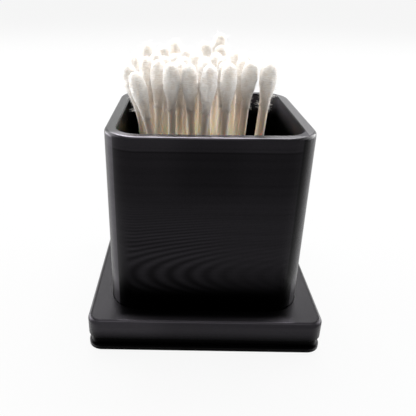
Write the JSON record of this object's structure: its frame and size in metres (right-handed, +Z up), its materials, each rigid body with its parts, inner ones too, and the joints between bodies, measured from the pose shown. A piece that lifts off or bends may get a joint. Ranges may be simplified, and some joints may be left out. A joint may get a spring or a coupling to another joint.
{
  "type": "cotton swab holder",
  "caption": "Open square cup with rounded corners on a wider square base with a shadow groove, holding a loose bunch of cotton swabs.",
  "frame": {"origin": "middle of the base's underside", "axes": "+Z up, the cup's mouth; +X to the right and -Y towards the viewer in the picture's view"},
  "size_m": [0.0776, 0.0776, 0.0945],
  "materials": {
    "printed_plastic": "satin, fine horizontal layer lines",
    "cotton": "matt wound cotton",
    "stick_paper": "matt rolled paper"
  },
  "bodies": {
    "root": {"base": "printed_plastic", "cup": "printed_plastic", "swab_01": "cotton", "swab_02": "cotton", "swab_03": "cotton", "swab_04": "cotton", "swab_05": "cotton", "swab_06": "cotton", "swab_07": "cotton", "swab_08": "cotton", "swab_09": "cotton", "swab_10": "cotton", "swab_11": "cotton", "swab_12": "cotton", "swab_13": "cotton", "swab_14": "cotton", "swab_15": "cotton", "swab_16": "cotton", "swab_17": "cotton", "swab_18": "cotton", "swab_19": "cotton", "swab_20": "cotton", "swab_21": "cotton", "swab_22": "cotton", "swab_23": "cotton", "swab_24": "cotton", "swab_25": "cotton", "swab_26": "cotton", "swab_27": "cotton", "swab_28": "cotton", "swab_29": "cotton", "swab_30": "cotton", "swab_31": "cotton", "swab_32": "cotton", "swab_33": "cotton", "swab_34": "cotton"}
  },
  "joints": []
}
